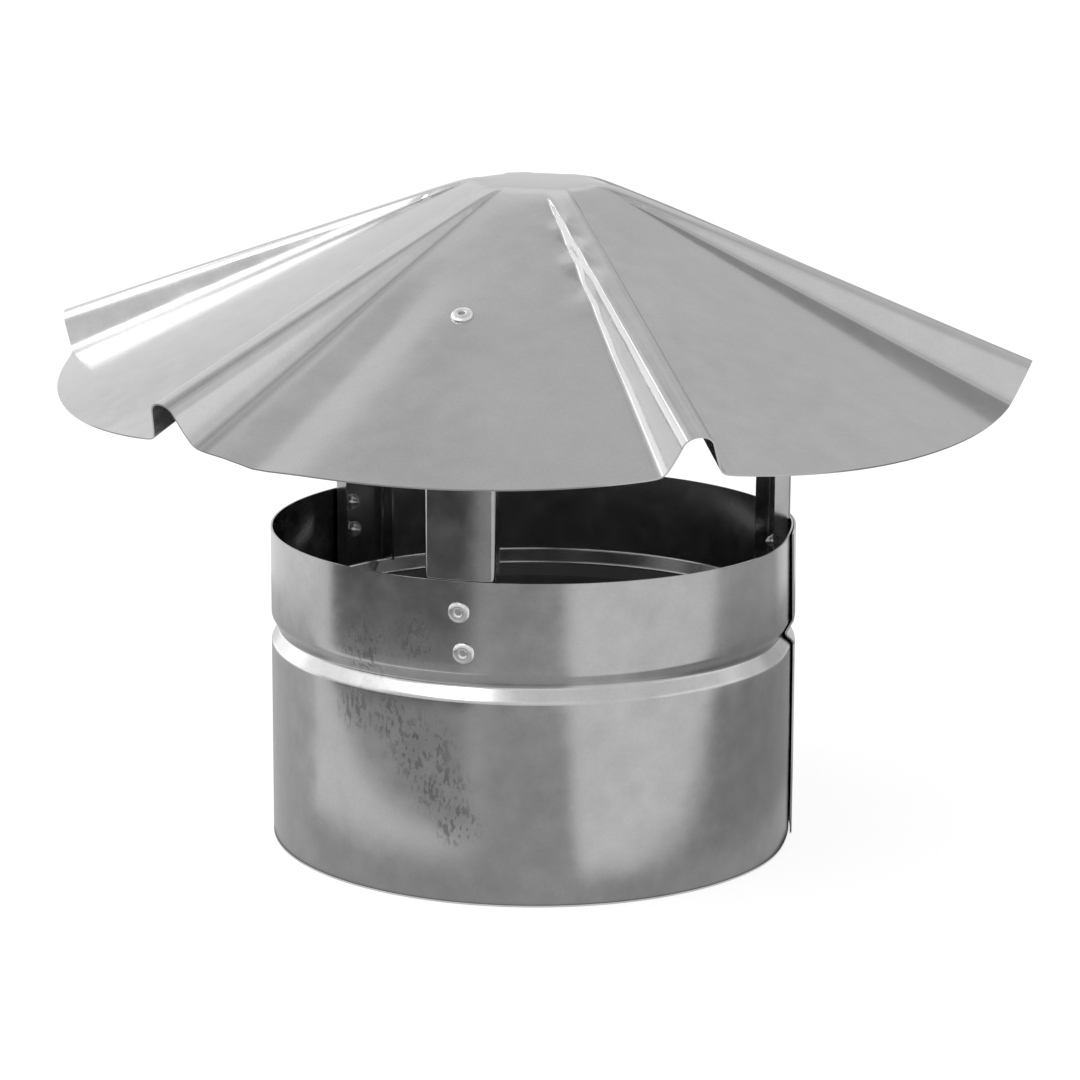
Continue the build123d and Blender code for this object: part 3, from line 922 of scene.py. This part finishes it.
def softbox(name, azimuth, elevation, distance, width, height, power):
    """Area lamp that faces the hat from an azimuth and an elevation."""
    lamp = bpy.data.lights.new(name, "AREA")
    lamp.shape = "RECTANGLE"
    lamp.size = width
    lamp.size_y = height
    lamp.energy = power
    place = in_scene(name, lamp)
    x, y = plan(distance * cos(elevation), azimuth)
    target = Vector(LIT_POINT)
    place.location = Vector((x, y, distance * sin(elevation))) + target
    place.rotation_euler = (target - place.location).to_track_quat("-Z", "Y").to_euler()


def white_world():
    """World that is white as it is seen, and a little softer on dull surfaces."""
    world = bpy.data.worlds.new("studio")
    bpy.context.scene.world = world
    nodes = Nodes(world)
    strength = nodes.ranged(as_seen(nodes), (0, 1), (DULL_WORLD, 1.0))
    background = nodes.add("ShaderNodeBackground", {"Color": (1, 1, 1, 1), "Strength": strength})
    nodes.add("ShaderNodeOutputWorld", {"Surface": background.outputs[0]})


def make_camera():
    """Camera at the photograph's place, with its frame 36 mm across."""
    camera = bpy.data.cameras.new("camera")
    camera.lens = CAMERA_LENS
    camera.sensor_width = SENSOR
    camera.sensor_fit = "HORIZONTAL"
    camera.clip_end = CAMERA_REACH
    place = in_scene("camera", camera)
    turn = (
        Matrix.Rotation(CAMERA_YAW, 4, "Z")
        @ Matrix.Rotation(-CAMERA_PITCH, 4, "X")
        @ Matrix.Rotation(CAMERA_ROLL, 4, "Y")
        @ Matrix.Rotation(pi / 2, 4, "X")
    )
    place.matrix_world = Matrix.Translation(CAMERA_PLACE) @ turn
    bpy.context.scene.camera = place


def make_studio():
    """White world, pale floor, glowing dome and table of painted reflections, and softboxes."""
    bpy.context.scene.view_settings.view_transform = "Standard"
    white_world()
    make_floor()
    make_tent()
    for name, azimuth, elevation, *sizes in SOFTBOXES:
        softbox(name, radians(azimuth), radians(elevation), *sizes)


def put_in_place(piece, node):
    """Let a new piece stand for a node of the part."""
    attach(piece, "root")
    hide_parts(node)


def dress_object():
    """New pieces in place of the plain ones, and a finish for every piece."""
    hat = make_hat()
    put_in_place(hat, "rain_hat")
    dress(hat, galvanised("hat_zinc", *HAT_ZINC))
    collar = make_collar()
    put_in_place(collar, "collar")
    stained = []
    for azimuth, height, reach in STAINS:
        x, y = plan(COLLAR_RADIUS, radians(azimuth))
        stained.append(((float(x), float(y), height), reach))
    dress(collar, galvanised("collar_zinc", *COLLAR_ZINC, stained))
    leg_zinc = galvanised("leg_zinc", *LEG_ZINC)
    for name in ("front_leg", "rear_left_leg", "right_leg"):
        dress(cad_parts[name], leg_zinc)
    aluminium = plain_metal("rivet_metal", *RIVET_METAL)
    for piece, name in ((make_collar_rivets(), "collar_rivets"), (make_hat_rivets(), "hat_rivets")):
        put_in_place(piece, name)
        dress(piece, aluminium)
    steel = plain_metal("stem_metal", *STEM_METAL)
    for name in ("collar_rivet_stems", "hat_rivet_stems"):
        dress(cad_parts[name], steel)


dress_object()
make_studio()
make_camera()

bpy.context.view_layer.update()
